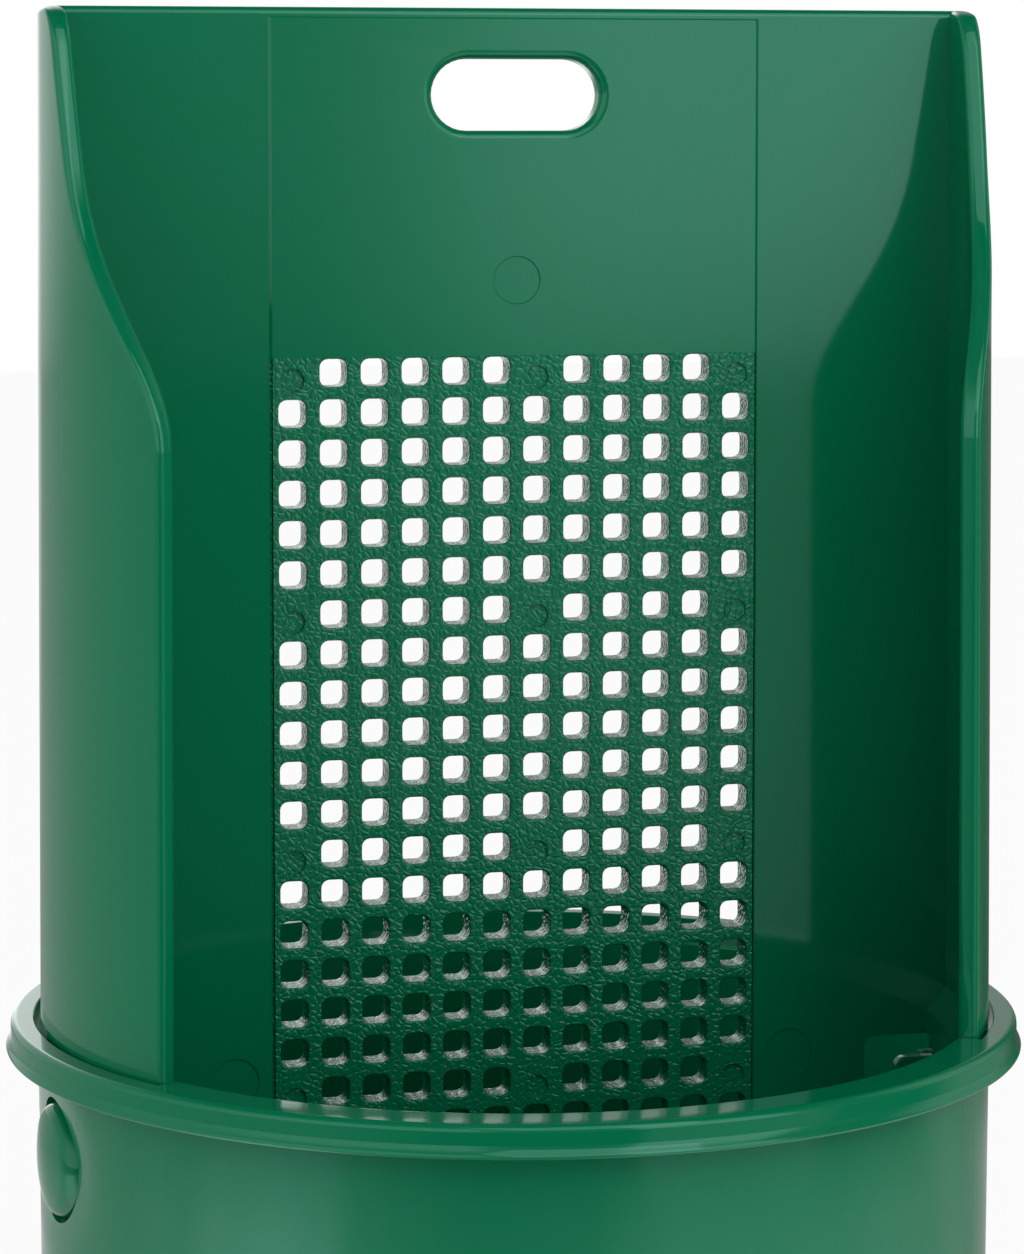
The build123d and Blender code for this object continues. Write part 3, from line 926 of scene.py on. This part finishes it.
def ring_of_light(nodes, links, across, back, stops):
    """Brightness by direction: stops are (angle from the front, level) round the object."""
    forward = nodes.new("ShaderNodeMath")
    forward.operation = "MULTIPLY"
    forward.inputs[1].default_value = -1
    angle = nodes.new("ShaderNodeMath")
    angle.operation = "ARCTAN2"
    turn = nodes.new("ShaderNodeMapRange")
    turn.inputs["From Min"].default_value = -math.pi
    turn.inputs["From Max"].default_value = math.pi
    ring = nodes.new("ShaderNodeValToRGB")
    ring.color_ramp.interpolation = "EASE"
    top = max(level for _, level in stops)
    elements = ring.color_ramp.elements
    elements[0].position, elements[1].position = 0.0, 1.0
    for degrees, _ in stops[1:-1]:
        elements.new((degrees + 180) / 360)
    for element, (_, level) in zip(elements, stops):
        element.color = (level / top, level / top, level / top, 1)
    gain = nodes.new("ShaderNodeMath")
    gain.operation = "MULTIPLY"
    gain.inputs[1].default_value = top
    links.new(back, forward.inputs[0])
    links.new(across, angle.inputs[0])
    links.new(forward.outputs[0], angle.inputs[1])
    links.new(angle.outputs[0], turn.inputs["Value"])
    links.new(turn.outputs["Result"], ring.inputs["Fac"])
    links.new(ring.outputs["Color"], gain.inputs[0])
    return gain.outputs[0]


def make_floor():
    """Pale matt floor that reads as white and keeps the object's soft shadow; to mirrored rays it
    glows as a painted reflection, brighter in some directions.
    """
    deselect_all()
    bpy.ops.mesh.primitive_plane_add(size=4)
    floor = bpy.context.object
    floor.name = "floor"
    material = bpy.data.materials.new("pale_floor")
    material.use_nodes = True
    nodes, links = material.node_tree.nodes, material.node_tree.links
    matt = nodes["Principled BSDF"]
    matt.inputs["Base Color"].default_value = (0.9, 0.9, 0.9, 1)
    matt.inputs["Roughness"].default_value = 0.9
    white = nodes.new("ShaderNodeEmission")
    # Painted reflection: the glow that mirrored rays see on the floor, its level set by direction near
    # and far
    painted_floor_glow = nodes.new("ShaderNodeEmission")
    place = nodes.new("ShaderNodeTexCoord")
    axes = nodes.new("ShaderNodeSeparateXYZ")
    links.new(place.outputs["Object"], axes.inputs["Vector"])
    distance = nodes.new("ShaderNodeVectorMath")
    distance.operation = "LENGTH"
    far = nodes.new("ShaderNodeMapRange")
    far.inputs["From Min"].default_value = FLOOR_NEAR_END
    far.inputs["From Max"].default_value = FLOOR_FAR_START
    level = nodes.new("ShaderNodeMix")
    links.new(place.outputs["Object"], distance.inputs[0])
    links.new(distance.outputs["Value"], far.inputs["Value"])
    links.new(far.outputs["Result"], level.inputs["Factor"])
    for stops, side in ((FLOOR_NEAR, "A"), (FLOOR_FAR, "B")):
        ring = ring_of_light(nodes, links, axes.outputs["X"], axes.outputs["Y"], stops)
        links.new(ring, level.inputs[side])
    # The painted reflection's level, near floor blended into far floor
    links.new(level.outputs["Result"], painted_floor_glow.inputs["Strength"])
    path = nodes.new("ShaderNodeLightPath")
    share = nodes.new("ShaderNodeMath")
    share.operation = "MULTIPLY"
    share.inputs[1].default_value = FLOOR_WHITE_SHARE
    seen = nodes.new("ShaderNodeMixShader")
    mirrored = nodes.new("ShaderNodeMixShader")
    links.new(path.outputs["Is Camera Ray"], share.inputs[0])
    links.new(share.outputs[0], seen.inputs[0])
    links.new(matt.outputs[0], seen.inputs[1])
    links.new(white.outputs[0], seen.inputs[2])
    links.new(path.outputs["Is Glossy Ray"], mirrored.inputs[0])
    links.new(seen.outputs[0], mirrored.inputs[1])
    links.new(painted_floor_glow.outputs[0], mirrored.inputs[2])
    links.new(mirrored.outputs[0], nodes["Material Output"].inputs["Surface"])
    floor.data.materials.append(material)


def make_world():
    """White room, lit unevenly round the object: bright at the sides and the front right."""
    world = bpy.data.worlds.new("white_room")
    bpy.context.scene.world = world
    world.use_nodes = True
    nodes, links = world.node_tree.nodes, world.node_tree.links
    backdrop = nodes["Background"]
    backdrop.inputs["Color"].default_value = (1, 1, 1, 1)
    place = nodes.new("ShaderNodeTexCoord")
    axes = nodes.new("ShaderNodeSeparateXYZ")
    up = nodes.new("ShaderNodeMapRange")
    up.inputs["From Min"].default_value = -1
    height = nodes.new("ShaderNodeValToRGB")
    height.color_ramp.interpolation = "EASE"
    elements = height.color_ramp.elements
    for element, (place_up, level) in zip(elements, ROOM_HEIGHTS):
        element.position, element.color = place_up, (level, level, level, 1)
    for place_up, level in ROOM_HEIGHTS[2:]:
        elements.new(place_up).color = (level, level, level, 1)
    links.new(place.outputs["Generated"], axes.inputs["Vector"])
    links.new(axes.outputs["Z"], up.inputs["Value"])
    links.new(up.outputs["Result"], height.inputs["Fac"])
    lights = []
    for stops in (ROOM_LIGHT, ROOM_GLOSS):
        share = nodes.new("ShaderNodeMath")
        share.operation = "MULTIPLY"
        light = nodes.new("ShaderNodeBackground")
        light.inputs["Color"].default_value = (1, 1, 1, 1)
        level = ring_of_light(nodes, links, axes.outputs["X"], axes.outputs["Y"], stops)
        links.new(level, share.inputs[0])
        links.new(height.outputs["Color"], share.inputs[1])
        links.new(share.outputs[0], light.inputs["Strength"])
        lights.append(light)
    path = nodes.new("ShaderNodeLightPath")
    by_gloss = nodes.new("ShaderNodeMixShader")
    seen = nodes.new("ShaderNodeMixShader")
    links.new(path.outputs["Is Glossy Ray"], by_gloss.inputs[0])
    links.new(lights[0].outputs[0], by_gloss.inputs[1])
    links.new(lights[1].outputs[0], by_gloss.inputs[2])
    links.new(path.outputs["Is Camera Ray"], seen.inputs[0])
    links.new(by_gloss.outputs[0], seen.inputs[1])
    links.new(backdrop.outputs[0], seen.inputs[2])
    links.new(seen.outputs[0], nodes["World Output"].inputs["Surface"])


def make_softbox():
    """A broad soft lamp in front of the object and above it."""
    data = bpy.data.lights.new("key", "AREA")
    data.shape = "RECTANGLE"
    data.size, data.size_y, data.energy = LAMP_WIDTH, LAMP_WIDTH, LAMP_POWER
    lamp = bpy.data.objects.new("key", data)
    lamp.location = LAMP_PLACE
    lamp.rotation_euler = (LAMP_AIM - LAMP_PLACE).to_track_quat("-Z", "Y").to_euler()
    bpy.context.scene.collection.objects.link(lamp)


def make_camera():
    """Long lens, left of the object and a little above its top, turned to the right and down."""
    data = bpy.data.cameras.new("camera")
    data.sensor_width = SENSOR
    data.lens = LENS
    data.shift_x, data.shift_y = SHIFT
    data.clip_start, data.clip_end = 0.01, 10
    camera = bpy.data.objects.new("camera", data)
    camera.location = CAMERA_PLACE
    camera.rotation_euler = Euler((CAMERA_TILT, 0, CAMERA_TURN), "XYZ")
    bpy.context.scene.collection.objects.link(camera)
    bpy.context.scene.camera = camera


make_floor()
make_world()
make_softbox()
make_camera()
bpy.context.scene.view_settings.view_transform = "Standard"
